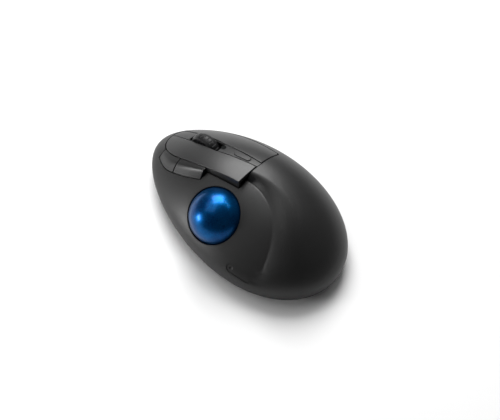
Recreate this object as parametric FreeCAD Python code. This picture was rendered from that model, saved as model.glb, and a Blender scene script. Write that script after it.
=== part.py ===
"""Thumb-operated wireless trackball mouse: a full assembly of separate named pieces, in millimetres.

Row frame: +X to the user's right, +Y forward (towards the main buttons), +Z up. The origin is on the desk,
under the middle of the body's bounding box. The ball sits on the left, in a shelf for the right hand's thumb.
"""

import FreeCAD
import Part
import math
import os

Vec = FreeCAD.Vector
UP = Vec(0, 0, 1)
RIGHT = Vec(1, 0, 0)

# ---------------------------------------------------------------- driving dimensions
BODY_LENGTH = 137.4
HALF_WIDTH = 40.2          # centre plane to the rim, before the taper
TAPER = 0.175              # share by which the body narrows from its middle to the nose
SPLIT_Z = 9.0              # where the top and bottom shells meet
CREST_RISE = 35.8          # height of the palm hump above the split
CREST_Y = -12.0
CREST_FALL = 0.0033        # how fast the crest drops fore and aft, per mm
WALL = 2.2
FLOOR_Z = 0.8              # underside of the bottom shell
FLOOR_TOP = 2.8
UNDERCUT = 5.5             # how far the bottom shell tucks in below the split
GAP = 0.5                  # visible gap round the keys
POCKET_ROUND = 0.3         # rounding of the shell's edge round the keys
KEY_ROUND = 0.4
BALL_ROUND = 0.5

BALL_RADIUS = 17.0
BALL_AXIS = Vec(-0.52, -0.08, 0.85).normalize()    # outward, the way the ball faces
RING_CENTRE = Vec(-23.2, 1.6, 28.8)                # middle of the ball's opening, on the shelf
BALL_DEPTH = 7.2                                   # the ball's centre lies this far under the opening
BALL_CENTRE = RING_CENTRE - BALL_AXIS * BALL_DEPTH
BALL_GAP = 0.35
CUP_GAP = 0.4
CUP_WALL = 1.7

WHEEL_CENTRE = Vec(8.35, 36.8, 23.4)
WHEEL_RADIUS = 11.8
WHEEL_WIDTH = 6.2

BOARD_Z = 9.9
BOARD_THICK = 1.6

HALF = BODY_LENGTH / 2


# ---------------------------------------------------------------- the body's outer form
def clamp(value, low, high):
    return max(low, min(high, value))


def natural_cubic(stations):
    """A smooth curve through (position, value) stations, as a function."""
    xs = [s[0] for s in stations]
    ys = [s[1] for s in stations]
    n = len(xs)
    diag = [1.0] * n
    upper = [0.0] * n
    rhs = [0.0] * n
    for i in range(1, n - 1):
        before = xs[i] - xs[i - 1]
        after = xs[i + 1] - xs[i]
        slope_change = (ys[i + 1] - ys[i]) / after - (ys[i] - ys[i - 1]) / before
        factor = before / diag[i - 1]
        diag[i] = 2 * (before + after) - factor * upper[i - 1]
        upper[i] = after
        rhs[i] = 6 * slope_change - factor * rhs[i - 1]
    bend = [0.0] * n
    for i in range(n - 2, 0, -1):
        bend[i] = (rhs[i] - upper[i] * bend[i + 1]) / diag[i]

    def value(x):
        i = 0
        while i < n - 2 and x > xs[i + 1]:
            i += 1
        span = xs[i + 1] - xs[i]
        t = (x - xs[i]) / span
        s = 1 - t
        curve = ((s**3 - s) * bend[i] + (t**3 - t) * bend[i + 1]) * span * span / 6
        return s * ys[i] + t * ys[i + 1] + curve

    return value


SHELF_HEIGHT = natural_cubic([
    (-70, 19),
    (-45, 25),
    (-25, 28.4),
    (1.6, 28.8),
    (22, 26.6),
    (40, 20.5),
    (56, 14),
    (70, 8),
])
SHELF_RISE = 11.0
SHELF_SPAN = 28.0
CREASE_RADIUS = 25.0       # from the ball's opening to the foot of the hump, straight to the right
CREASE_SPREAD = 9.3        # how much further it is towards the rear
FOOT_WIDTH = 4.0           # how fast the hump rises from its foot, by the buttons


def rim_share(x, y):
    """0 at the middle of the plan outline and 1 on it, squared."""
    return (x / (HALF_WIDTH * (1 - TAPER * y / HALF))) ** 2 + (y / HALF) ** 2


def hump_z(x, y):
    """The egg-shaped dome that the palm and the main buttons lie on."""
    rise = CREST_RISE - CREST_FALL * (y - CREST_Y) ** 2
    return SPLIT_Z + rise * (1 - min(1.0, rim_share(x, y)) ** 1.15) ** 0.5


def shelf_z(x, y):
    """The lower shelf round the ball, tilted up towards the hump."""
    across = clamp((x - RING_CENTRE.x) / SHELF_SPAN, -1, 1)
    z = SHELF_HEIGHT(y) + SHELF_RISE * math.sin(math.pi / 2 * across)
    return SPLIT_Z + (z - SPLIT_Z) * (1 - min(1.0, rim_share(x, y)) ** 3.5) ** 0.5


def foot_radius(angle):
    """How far the hump's foot is from the ball's opening. Forward of the opening it is a straight line."""
    turned = -math.degrees(math.atan2(math.sin(angle), math.cos(angle)))
    if turned < 0:
        return CREASE_RADIUS / math.cos(math.radians(min(-turned, 80)))
    return CREASE_RADIUS + CREASE_SPREAD * (min(turned, 120) / 65) ** 1.3


def hump_share(x, y):
    """0 on the thumb shelf, 1 on the hump, whose foot is crisp by the buttons and fades to the rear."""
    angle = math.atan2(y - RING_CENTRE.y, x - RING_CENTRE.x)
    turned = clamp(-math.degrees(angle), 0, 180)
    past = math.hypot(x - RING_CENTRE.x, y - RING_CENTRE.y) - foot_radius(angle)
    width = min(FOOT_WIDTH + 9 * (turned / 40) ** 1.5, 30)
    return math.sin(math.pi / 2 * clamp(past / width, 0, 1))


def body_z(x, y):
    hump = hump_z(x, y)
    shelf = min(hump, shelf_z(x, y))
    return shelf + (hump - shelf) * hump_share(x, y)


def reach(cx, cy, angle):
    """How far the plan outline is from (cx, cy) at that angle."""
    low = 0.0
    high = BODY_LENGTH
    for _ in range(45):
        middle = (low + high) / 2
        if rim_share(cx + middle * math.cos(angle), cy + middle * math.sin(angle)) < 1:
            low = middle
        else:
            high = middle
    return low


# ---------------------------------------------------------------- solids from sampled forms
SWEEPS = 30                # relaxation sweeps; each one cuts the error to about a quarter
SEAM_ANGLE = math.radians(215)                     # where the closed surfaces start, at the rear left


def ring_poles(points):
    """Poles of the uniform cubic spline that passes through a closed ring of points."""
    n = len(points)
    poles = list(points)
    for _ in range(SWEEPS):
        for i in range(n):
            poles[i] = (points[i] * 6 - poles[i - 1] - poles[(i + 1) % n]) * 0.25
    return poles


def row_poles(points):
    """Poles of the uniform cubic spline through an open row of points, with free ends."""
    n = len(points)
    poles = [points[0], *points, points[-1]]
    for _ in range(SWEEPS):
        poles[1] = (poles[0] * 2 + poles[2]) * (1 / 3)
        poles[2] = (points[1] - poles[1] * (1 / 4) - poles[3] * (1 / 6)) * (12 / 7)
        for j in range(2, n - 2):
            poles[j + 1] = (points[j] * 6 - poles[j] - poles[j + 2]) * 0.25
        poles[n - 1] = (points[n - 2] - poles[n] * (1 / 4) - poles[n - 2] * (1 / 6)) * (12 / 7)
        poles[n] = (poles[n + 1] * 2 + poles[n - 1]) * (1 / 3)
    return poles


def closed_surface(row_at, turns):
    """A smooth surface closed round Z. row_at(angle) gives its points at that angle, from inside out."""
    rows = [row_poles(row_at(SEAM_ANGLE + 2 * math.pi * i / turns)) for i in range(turns)]
    columns = [ring_poles(list(column)) for column in zip(*rows)]
    poles = [list(row) for row in zip(*columns)]
    levels = len(poles[0])
    surface = Part.BSplineSurface()
    surface.buildFromPolesMultsKnots(
        poles,
        [1] * (turns + 1),
        [4] + [1] * (levels - 4) + [4],
        [float(k) for k in range(turns + 1)],
        [float(k) for k in range(levels - 2)],
        True,
        False,
        3,
        3,
    )
    return surface


def capped(surface):
    """The solid between a closed surface and the flat faces across its two ends."""
    side = surface.toShape()
    rims = [Part.Wire([e]) for e in side.Edges if e.isClosed()]
    shell = Part.makeShell([side.Faces[0], *[Part.Face(rim) for rim in rims]])
    shell.sewShape(0.001)
    solid = Part.makeSolid(Part.Shell(shell.Faces))
    if solid.Volume < 0:
        solid.reverse()
    return solid


FOOT_SHARE = 14 / 39        # share of the rings that lie inside the foot of the hump


def even_spacing(angle, edge, hub, share):
    """Ring radii that close up towards the rim. share runs from 0 to 1."""
    return hub + (edge - hub) * math.sin(math.pi / 2 * share)


def foot_spacing(angle, edge, hub, share):
    """Ring radii of which one follows the foot of the hump, so that the crease stays crisp."""
    foot = min(foot_radius(angle), 0.7 * edge + 0.3 * hub)
    if share <= FOOT_SHARE:
        return hub + (foot - hub) * (1 - (1 - share / FOOT_SHARE) ** 1.25)
    rest = (share - FOOT_SHARE) / (1 - FOOT_SHARE)
    smooth = 0.35 * rest + 0.65 * math.sin(math.pi / 2 * rest) ** 1.2
    return foot + (edge - foot) * (1 - (1 - smooth) ** 1.35)


def dome_solid(height, cx, cy, hub, inset, spacing=even_spacing, turns=96, rings=40):
    """The solid under a height function, from the split up. inset moves its surface inwards."""
    gx = (height(cx + 0.5, cy) - height(cx - 0.5, cy))
    gy = (height(cx, cy + 0.5) - height(cx, cy - 0.5))
    tilt = Vec(-gx, -gy, 1).normalize()
    base = Vec(cx, cy, height(cx, cy)) - tilt * inset

    def row_at(angle):
        edge = reach(cx, cy, angle)
        out = Vec(math.cos(angle), math.sin(angle), 0)
        flat = base + out * hub
        flat.z = base.z - (tilt.x * out.x + tilt.y * out.y) * hub / tilt.z
        row = [flat]
        for j in range(1, rings):
            r = spacing(angle, edge, hub, j / (rings - 1))
            x = cx + r * out.x
            y = cy + r * out.y
            if j == rings - 1:
                row.append(Vec(x, y, SPLIT_Z) - rim_normal(x, y) * inset)
                continue
            d = min(0.05, (edge - r) * 0.2)
            zx = (height(x + d, y) - height(x - d, y)) / (2 * d)
            zy = (height(x, y + d) - height(x, y - d)) / (2 * d)
            row.append(Vec(x, y, height(x, y)) - Vec(-zx, -zy, 1).normalize() * inset)
        return row

    return capped(closed_surface(row_at, turns))


def rim_normal(x, y):
    """The plan outline's outward direction at a point on it."""
    d = 0.01
    gx = rim_share(x + d, y) - rim_share(x - d, y)
    gy = rim_share(x, y + d) - rim_share(x, y - d)
    return Vec(gx, gy, 0).normalize()


def tray_solid(bottom, top, inset, levels=9, turns=96):
    """The bottom shell's form between two heights: it tucks in towards the desk."""

    def row_at(angle):
        edge = reach(0, 0, angle)
        rim = Vec(edge * math.cos(angle), edge * math.sin(angle), 0)
        inwards = rim_normal(rim.x, rim.y) * -1
        row = []
        for k in range(levels):
            z = bottom + (top - bottom) * k / (levels - 1)
            down = clamp((SPLIT_Z - z) / (SPLIT_Z - FLOOR_Z), 0, 1)
            row.append(rim + inwards * (inset + UNDERCUT * down**2.2) + UP * z)
        return row

    return capped(closed_surface(row_at, turns))


# ---------------------------------------------------------------- small helpers
def box(x0, x1, y0, y1, z0, z1):
    return Part.makeBox(x1 - x0, y1 - y0, z1 - z0, Vec(x0, y0, z0))


def rod(radius, start, end):
    along = end - start
    return Part.makeCylinder(radius, along.Length, start, along)


def post(radius, x, y, z0, z1):
    return rod(radius, Vec(x, y, z0), Vec(x, y, z1))


def smooth_edge(points):
    curve = Part.BSplineCurve()
    curve.interpolate([Vec(x, y, 0) for x, y in points])
    return curve.toShape()


def raised(wire, z0, z1):
    """The prism over a flat wire, between two heights."""
    face = Part.Face(wire) if isinstance(wire, Part.Wire) else wire
    face = face.copy()
    face.translate(UP * z0)
    return face.extrude(UP * (z1 - z0))


def polygon(points):
    return Part.makePolygon([Vec(x, y, 0) for x, y in [*points, points[0]]])


def slot_prism(cx, cy, length, width, angle, z0, z1):
    """An upright prism with round ends."""
    solid = box(-(length - width) / 2, (length - width) / 2, -width / 2, width / 2, z0, z1)
    for side in (-1, 1):
        solid = solid.fuse(post(width / 2, side * (length - width) / 2, 0, z0, z1))
    solid = solid.removeSplitter()
    solid.rotate(Vec(0, 0, 0), UP, angle)
    solid.translate(Vec(cx, cy, 0))
    return solid


def lowered(solid, by):
    moved = solid.copy()
    moved.translate(UP * -by)
    return moved


def one(solids):
    """Several touching or overlapping solids joined into one."""
    joined = solids[0].fuse(solids[1:]) if len(solids) > 1 else solids[0]
    return joined.removeSplitter()


def largest(shape):
    return max(shape.Solids, key=lambda solid: solid.Volume)


def group(solids):
    return Part.makeCompound(solids)


def aimed(solid, at, along):
    """Turns a solid built along +Z at the origin so that it stands at a point, along a direction."""
    placed = solid.copy()
    placed.Placement = FreeCAD.Placement(at, FreeCAD.Rotation(UP, along))
    return placed


# ---------------------------------------------------------------- plan of the key area
KEY_OUTLINE = [                                    # from the left end of the rear seam, round the nose
    (-4.7, 0),
    (-7.6, 20.0),
    (-9.3, 40.0),
    (-8.4, 53.0),
    (-4.2, 60.4),
    (4.0, 63.2),
    (12.6, 60.0),
    (20.6, 48.5),
    (26.6, 28.0),
    (29.4, 0),
]
OUTLINE_SAMPLES = 26
KEY_CORNER = 1.4
STRIP_LEFT = [(5.1, 27.3), (4.7, 48.0), (5.4, 66.0)]
STRIP_RIGHT = [(11.9, 27.3), (12.0, 48.0), (11.0, 66.0)]
STRIP_REAR = [(10.9, -1), (14.0, -1)]
STRIP_GAP = 0.4
KEY_THICK = 2.0
KEY_SKIRT_WIDTH = 1.4
LEFT_SKIRT_DEPTH = 7.4     # deeper, because the shelf beside the left key lies low
RIGHT_SKIRT_DEPTH = 4.5
STRIP_SKIRT_DEPTH = 2.6    # along the strip and the nose
LEFT_SKIRT_END = -2.4      # the deep skirts are only outside these
RIGHT_SKIRT_START = 16.0
TONGUES = [(6.2, 9.2), (17.4, 25.4)]               # x limits of the keys' rear tongues
TONGUE_PEG_Y = -2.6
DECK_DROP = 6.4            # the deck's top lies this far under the hump's surface
DECK_THICK = 1.5
LOW = 5.0                  # the cutting prisms reach from here
HIGH = 60.0                # to here


def key_face(grow):
    """The area of the two main keys and the strip between them, grown outwards."""
    curve = Part.BSplineCurve()
    curve.interpolate([Vec(x, y, 0) for x, y in KEY_OUTLINE])
    points = []
    for i in range(OUTLINE_SAMPLES):
        at = curve.FirstParameter + (curve.LastParameter - curve.FirstParameter) * i / (OUTLINE_SAMPLES - 1)
        heading = curve.tangent(at)[0]
        points.append(curve.value(at) + Vec(-heading.y, heading.x, 0) * grow)
    first = points[0] + (points[0] - points[1]).normalize() * 8
    last = points[-1] + (points[-1] - points[-2]).normalize() * 8
    outline = Part.BSplineCurve()
    outline.interpolate([first, *points, last])
    area = Part.Face(Part.Wire([outline.toShape(), Part.makeLine(last, first)]))
    keep = Part.Face(polygon([(-60, -grow), (60, -grow), (60, 90), (-60, 90)]))
    return area.common(keep).Faces[0]


def strip_face(grow):
    """The strip between the main keys."""
    shift = Vec(grow, 0, 0)
    rear = [Vec(*STRIP_REAR[0], 0) - shift, Vec(*STRIP_REAR[1], 0) + shift]
    left = smooth_edge([(x - grow, y) for x, y in STRIP_LEFT])
    right = smooth_edge([(x + grow, y) for x, y in STRIP_RIGHT])
    corners = [Vec(*STRIP_LEFT[0], 0) - shift, Vec(*STRIP_RIGHT[0], 0) + shift]
    ends = [Vec(*STRIP_LEFT[-1], 0) - shift, Vec(*STRIP_RIGHT[-1], 0) + shift]
    outline = [
        Part.makeLine(rear[0], corners[0]),
        left,
        Part.makeLine(*ends),
        right,
        Part.makeLine(corners[1], rear[1]),
        Part.makeLine(rear[1], rear[0]),
    ]
    return Part.Face(Part.Wire(outline))


def rounded_rear(prism):
    """Rounds the upright edge at the right rear corner of the key area."""
    corner = [
        e for e in prism.Edges
        if e.BoundBox.XLength + e.BoundBox.YLength < 1e-4 and e.BoundBox.XMin > 26 and e.BoundBox.YMin < 4
    ]
    return prism.makeFillet(KEY_CORNER, corner) if corner else prism


# ---------------------------------------------------------------- side keys' form
SIDE_KEY_OUTER = natural_cubic([(20, -12.0), (30, -14.8), (41, -16.3), (50, -15.6), (58, -11.8)])
SIDE_KEY_INNER = natural_cubic([(20, -7.6), (30, -8.6), (41, -9.35), (50, -9.1), (58, -6.6)])
SIDE_KEY_LEDGE = natural_cubic([(20, 1.9), (30, 3.0), (41, 3.8), (50, 3.6), (58, 2.4)])
SIDE_KEY_REAR = 22.6
SIDE_KEY_FRONT = 57.4
SIDE_KEY_SPLIT = 41.8
SIDE_KEY_STATIONS = 9
SIDE_KEY_TUCK = 3.2        # how far the outer wall goes on below the shell's surface
SIDE_KEY_DEPTH = 6.5       # height of the inner wall
SIDE_KEY_WALL = 1.6


def side_key_section(y, grow):
    """A section through the side keys, across the body."""
    inner = SIDE_KEY_INNER(y)
    outer = SIDE_KEY_OUTER(y)
    ridge = inner - SIDE_KEY_LEDGE(y)
    top = Vec(inner + grow, y, hump_z(inner, y) - 0.3 + grow)
    brow = Vec(ridge, y, hump_z(ridge, y) - 0.1 + grow)
    foot = Vec(outer - grow, y, body_z(outer, y) - 0.15)
    toe = Vec(outer + 0.9 - grow, y, foot.z - SIDE_KEY_TUCK - 3 * grow)
    heel = Vec(inner + grow, y, top.z - SIDE_KEY_DEPTH - grow)
    bend = Part.BezierCurve()
    bend.setPoles([top + (brow - top) * 0.55, brow, brow + (foot - brow) * 0.45])
    return Part.Wire([
        Part.makeLine(top, bend.StartPoint),
        bend.toShape(),
        Part.makeLine(bend.EndPoint, foot),
        Part.makeLine(foot, toe),
        Part.makeLine(toe, heel),
        Part.makeLine(heel, top),
    ])


def side_key_form(grow):
    """The solid form of both side keys in one, grown outwards for their pocket."""
    start = SIDE_KEY_REAR - grow
    span = SIDE_KEY_FRONT + grow - start
    stations = [start + span * i / (SIDE_KEY_STATIONS - 1) for i in range(SIDE_KEY_STATIONS)]
    return Part.makeLoft([side_key_section(y, grow) for y in stations], True, False)


# ---------------------------------------------------------------- the shared forms
def body_form(inset):
    return dome_solid(body_z, RING_CENTRE.x, RING_CENTRE.y, 6.0, inset, foot_spacing)


OUTER = body_form(0)
INNER = body_form(WALL)
CLEAR = body_form(WALL + 0.25)
HUMP = dome_solid(hump_z, 0, -20, 6.0, 0.0)
KEY_POCKET = rounded_rear(raised(key_face(0), LOW, HIGH))
SIDE_KEY_GAP = 0.35

# ---------------------------------------------------------------- places of the inner pieces
CASE_SCREWS = [(29.5, -13.5), (26.5, -38.0), (-26.5, -37.0), (-26.0, 28.0), (2.0, 60.2)]
NOSE_SCREW = CASE_SCREWS[-1]
DECK_SCREWS = [(13.6, -4.0), (28.4, -4.2), (32.2, 8.0)]
CUP_SCREWS = [(-9.6, 19.6), (-33.0, -15.0), (-5.2, -15.4)]
BOARD_SCREWS = [(-9.6, 26.4), (17.2, 26.4), (-7.6, 50.6), (14.6, 52.2)]
BOARD_TOP = BOARD_Z + BOARD_THICK
POST_RADIUS = 3.0

CELL_X = 13.0
CELL_Z = 11.0
CELL_RADIUS = 7.25
CELL_REAR = -45.0
CELL_FRONT = 4.5
BAY = (4.9, 21.1, -47.9, 6.1)                      # the battery bay, x and y limits
BAY_WALL = 1.1
BAY_TOP = 13.5

RECEIVER = (-17.3, -2.7, -45.0, -26.3)
RECEIVER_GAP = 0.3
RECEIVER_TOP = 6.9

SENSOR_AIM = Vec(0.78, 0, -0.62).normalize()       # from the ball's centre to the sensor
LEFT_SWITCH = (-5.0, 38.0)
RIGHT_SWITCH = (17.2, 38.0)
WHEEL_SWITCH = (8.2, 51.2)
SIDE_SWITCH_Z = 14.9
BACK_SWITCH_Y = 33.5
FORWARD_SWITCH_Y = 45.0
DPI_AT = (10.8, 11.7)
DPI_ANGLE = -82
LED_AT = (9.5, 25.4)
POWER_AT = (-3.0, 34.5)
PAIRING_AT = (-3.0, 44.0)
PIVOT_Y = 21.0                                     # the wheel carriage's pivot
PIVOT_Z = 16.0
BEAM = (29.9, 21.0)                                # the light beam through the wheel, y and z
MARK_CENTRE = (-35.6, -29.1)                       # the recessed mark at the rear left
MARK_ALONG = Vec(3.3, -16.8, -2.0).normalize()
MARK_DEPTH = 0.35


def under_hump(prism, top, bottom):
    """The part of a prism between two depths under the hump's surface."""
    return prism.common(lowered(HUMP, top)).cut(lowered(HUMP, bottom))


def follows(edge, height, tolerance=0.05):
    """Whether an edge lies on a height function's surface, above the split."""
    span = edge.LastParameter - edge.FirstParameter
    points = [edge.valueAt(edge.FirstParameter + span * share) for share in (0.1, 0.35, 0.6, 0.9)]
    return all(p.z > SPLIT_Z + 1 and abs(height(p.x, p.y) - p.z) < tolerance for p in points)


def softened(shape, radius, height, near=None):
    """Rounds the edges where cuts meet a height function's surface."""
    solid = shape.Solids[0]
    edges = [e for e in solid.Edges if follows(e, height) and (near is None or near(e.CenterOfMass))]
    return solid.makeFillet(radius, edges)


# ---------------------------------------------------------------- shells
def top_shell():
    shell = OUTER.cut(INNER).cut([KEY_POCKET, side_key_form(SIDE_KEY_GAP)])
    shell = softened(shell, POCKET_ROUND, body_z, lambda p: p.x > -30)
    shell = shell.cut(Part.makeSphere(BALL_RADIUS + BALL_GAP, BALL_CENTRE))
    shell = softened(shell, BALL_ROUND, body_z, lambda p: (p - BALL_CENTRE).Length < BALL_RADIUS + 3)
    bosses = [post(POST_RADIUS, x, y, SPLIT_Z, HIGH).common(OUTER) for x, y in CASE_SCREWS[:-1]]
    nose = post(2.6, *NOSE_SCREW, SPLIT_Z, 12.4)
    web = box(0.6, 3.4, NOSE_SCREW[1], 68, SPLIT_Z, 12.4).common(OUTER)
    lugs = [post(2.4, x, y, LOW, HIGH).common(OUTER).cut(lowered(HUMP, DECK_DROP)) for x, y in DECK_SCREWS]
    shell = one([shell, *bosses, nose, web, *lugs])
    holes = [post(1.0, x, y, SPLIT_Z - 1, SPLIT_Z + 9) for x, y in CASE_SCREWS[:-1]]
    holes.append(post(1.0, *NOSE_SCREW, SPLIT_Z - 1, 12))
    for x, y in DECK_SCREWS:
        seat = hump_z(x, y) - DECK_DROP
        holes.append(post(0.8, x, y, seat - 4, seat + 2.6))
    return shell.cut([mark_recess(), *holes])


def mark_recess():
    """A shallow pill with a dimple at one end, sunk square to the surface."""
    x, y = MARK_CENTRE
    d = 0.2
    slope_x = (body_z(x + d, y) - body_z(x - d, y)) / (2 * d)
    slope_y = (body_z(x, y + d) - body_z(x, y - d)) / (2 * d)
    normal = Vec(-slope_x, -slope_y, 1).normalize()
    across = normal.cross(MARK_ALONG).normalize()
    along = across.cross(normal)
    turn = FreeCAD.Rotation(along, across, normal, "XZY")
    place = FreeCAD.Placement(Vec(x, y, body_z(x, y)), turn)
    pill = slot_prism(0, 0, 17.0, 5.6, 0, -3, 3)
    pill.Placement = place
    dimple = Part.makeSphere(1.9, Vec(-5.7, 0, 0.9))
    dimple.Placement = place
    skin = OUTER.cut(body_form(MARK_DEPTH))
    return pill.common(skin).fuse(dimple)


def bottom_shell():
    form = tray_solid(FLOOR_Z, SPLIT_Z, 0)
    shell = form.cut(tray_solid(FLOOR_TOP, SPLIT_Z + 0.001, 2.0))
    adds = [post(POST_RADIUS, x, y, FLOOR_TOP - 1, SPLIT_Z) for x, y in CASE_SCREWS]
    adds += [post(2.6, x, y, FLOOR_TOP - 1, SPLIT_Z) for x, y in CUP_SCREWS]
    adds += [post(2.2, x, y, FLOOR_TOP - 1, BOARD_Z) for x, y in BOARD_SCREWS]
    adds.append(post(1.8, 8.2, 57.4, FLOOR_TOP - 1, 12))
    x0, x1, y0, y1 = BAY
    bay = box(x0 - BAY_WALL, x1 + BAY_WALL, y0 - BAY_WALL, y1 + BAY_WALL, FLOOR_TOP - 1, SPLIT_Z)
    ends = [
        box(8.0, 18.0, y0 - BAY_WALL, y0, FLOOR_TOP, BAY_TOP),
        box(8.0, 18.0, y1, y1 + BAY_WALL, FLOOR_TOP, BAY_TOP),
    ]
    adds += [bay.cut(box(x0, x1, y0, y1, 0, 20)), *ends]
    r0, r1, s0, s1 = RECEIVER
    g = RECEIVER_GAP
    bin_outer = box(r0 - g - 1.1, r1 + g + 1.1, s0 - g - 1.1, s1 + g + 1.1, FLOOR_TOP - 1, RECEIVER_TOP + 1.5)
    adds.append(bin_outer)
    for side in (0.9, 14.5):
        ear = box(side, side + 1.5, 19.0, 23.0, FLOOR_TOP - 1, 18.2)
        adds.append(ear)
    shell = one([shell, *adds])
    cuts = [
        box(x0, x1, y0, y1, 0, FLOOR_TOP),
        box(r0 - g, r1 + g, s0 - g, s1 + g, 0, RECEIVER_TOP + 0.3),
        rod(1.0, Vec(0, PIVOT_Y, PIVOT_Z), Vec(17, PIVOT_Y, PIVOT_Z)),
        post(5.0, BALL_CENTRE.x, BALL_CENTRE.y, 0, FLOOR_TOP + 1),
        box(POWER_AT[0] - 5.2, POWER_AT[0] + 5.2, POWER_AT[1] - 1.9, POWER_AT[1] + 1.9, 0, FLOOR_TOP + 1),
        post(2.7, *PAIRING_AT, 0, FLOOR_TOP + 1),
        box(*LABEL, 0, FLOOR_Z + 0.25),
    ]
    for x, y in CASE_SCREWS:
        cuts += [post(1.25, x, y, 0, SPLIT_Z + 1), post(2.8, x, y, 0, 4.6)]
    cuts += [post(0.9, x, y, FLOOR_TOP + 1, SPLIT_Z + 1) for x, y in CUP_SCREWS]
    cuts += [post(0.9, x, y, FLOOR_TOP + 1, BOARD_Z + 1) for x, y in BOARD_SCREWS]
    cuts += [foot.common(box(-50, 50, -70, 70, FLOOR_Z, 4)) for foot in feet_solids()]
    return shell.cut(cuts)


# ---------------------------------------------------------------- keys and their deck
def halves(faces):
    """The faces of the left and the right key."""
    return sorted(faces.Faces, key=lambda face: face.CenterOfMass.x)


def key_plates():
    """The left and the right main key: thin plates with skirts and a rear tongue each."""
    areas = halves(key_face(-GAP).cut(strip_face(STRIP_GAP)))
    insides = halves(key_face(-GAP - KEY_SKIRT_WIDTH).cut(strip_face(STRIP_GAP + KEY_SKIRT_WIDTH)))
    plates = []
    depths = [LEFT_SKIRT_DEPTH, RIGHT_SKIRT_DEPTH]
    shallows = [box(LEFT_SKIRT_END, 60, -10, 80, 0, HIGH), box(-60, RIGHT_SKIRT_START, -10, 80, 0, HIGH)]
    plungers = [(LEFT_SWITCH[0], LEFT_SWITCH[1] + 2.4), (RIGHT_SWITCH[0], RIGHT_SWITCH[1] + 2.4)]
    for i, (x0, x1) in enumerate(TONGUES):
        area, inside, depth, shallow, at = areas[i], insides[i], depths[i], shallows[i], plungers[i]
        solid = rounded_rear(raised(area, LOW, HIGH)).common(HUMP)
        solid = solid.cut(raised(inside, LOW, HIGH).common(lowered(HUMP, KEY_THICK)))
        solid = solid.cut([lowered(HUMP, depth), lowered(HUMP, STRIP_SKIRT_DEPTH).common(shallow)])
        solid = softened(solid, KEY_ROUND, hump_z)
        tongue = under_hump(box(x0, x1, -4.6, 4.0, LOW, HIGH), 3.8, 5.3)
        riser = under_hump(box(x0, x1, 0.9, 4.0, LOW, HIGH), 1.0, 5.3)
        finger = post(1.8, *at, 19.5, HIGH).common(lowered(HUMP, 1.0))
        peg_hole = post(1.35, (x0 + x1) / 2, TONGUE_PEG_Y, LOW, HIGH)
        plates.append(one([solid, tongue.cut(peg_hole), riser, finger]))
    return plates


def center_spine():
    area = strip_face(0).common(key_face(-0.35))
    solid = under_hump(raised(area, LOW, HIGH), 0.25, 2.3)
    leg = under_hump(post(1.0, 12.5, 3.2, LOW, HIGH), 1.0, DECK_DROP)
    front_leg = post(1.6, 8.2, 57.4, 12, HIGH).common(lowered(HUMP, 1.0))
    solid = one([solid, leg, front_leg])
    wheel_slot = box(WHEEL_CENTRE.x - 3.4, WHEEL_CENTRE.x + 3.4, 26.0, 49.4, LOW, HIGH)
    corners = [e for e in wheel_slot.Edges if e.BoundBox.ZLength > 1]
    wheel_slot = wheel_slot.makeFillet(1.0, corners)
    led_hole = post(1.6, *LED_AT, LOW, HIGH)
    pill = slot_prism(*DPI_AT, 11.4, 3.8, DPI_ANGLE, LOW, HIGH)
    return solid.cut([wheel_slot, led_hole, pill])


def button_deck():
    area = key_face(-2.5)
    pads = [post(3.2, x, y, LOW, HIGH) for x, y in DECK_SCREWS]
    rear = box(6.0, 28.4, -5.6, 5.0, LOW, HIGH)
    bridge = box(24.0, 32.2, 5.6, 10.4, LOW, HIGH)
    plan = one([raised(area, LOW, HIGH).common(box(-20, 40, -8, 48, LOW, HIGH)), *pads, rear, bridge])
    deck = under_hump(plan, DECK_DROP, DECK_DROP + DECK_THICK)
    pegs = []
    for x0, x1 in TONGUES:
        peg = post(1.1, (x0 + x1) / 2, TONGUE_PEG_Y, LOW, HIGH)
        pegs.append(under_hump(peg, 3.9, DECK_DROP + 0.5))
    ledges = box(7.4, 9.0, 8.0, 22.0, 30, 40).fuse(box(12.2, 13.8, 8.0, 22.0, 30, 40))
    rests = ledges.common(under_strip_board()).cut(lowered(HUMP, DECK_DROP + 0.4))
    deck = one([deck, *pegs, rests])
    board_half = STRIP_BOARD_HALF + 0.3
    cuts = [
        box(2.0, 14.4, 22.8, 50, LOW, HIGH),
        box(LEFT_SWITCH[0] - 3.4, LEFT_SWITCH[0] + 3.4, 31.2, 45.2, LOW, HIGH),
        box(RIGHT_SWITCH[0] - 3.4, RIGHT_SWITCH[0] + 3.4, 31.2, 45.2, LOW, HIGH),
        Part.makeSphere(BALL_RADIUS + CUP_GAP + CUP_WALL + 0.5, BALL_CENTRE),
        on_strip_board(box(-board_half, board_half, -0.3, STRIP_BOARD_LENGTH + 1, 0, 4)),
    ]
    cuts += [post(0.95, x, y, LOW, HIGH) for x, y in DECK_SCREWS]
    return largest(deck.cut(cuts))


def end_rounded(key):
    """Rounds the upper edges of a side key's two end faces."""
    solid = key.Solids[0]
    level = solid.BoundBox.ZMin + 9
    edges = [e for e in solid.Edges if e.BoundBox.YLength < 0.1 and e.CenterOfMass.z > level]
    return solid.makeFillet(KEY_ROUND, edges)


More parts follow.
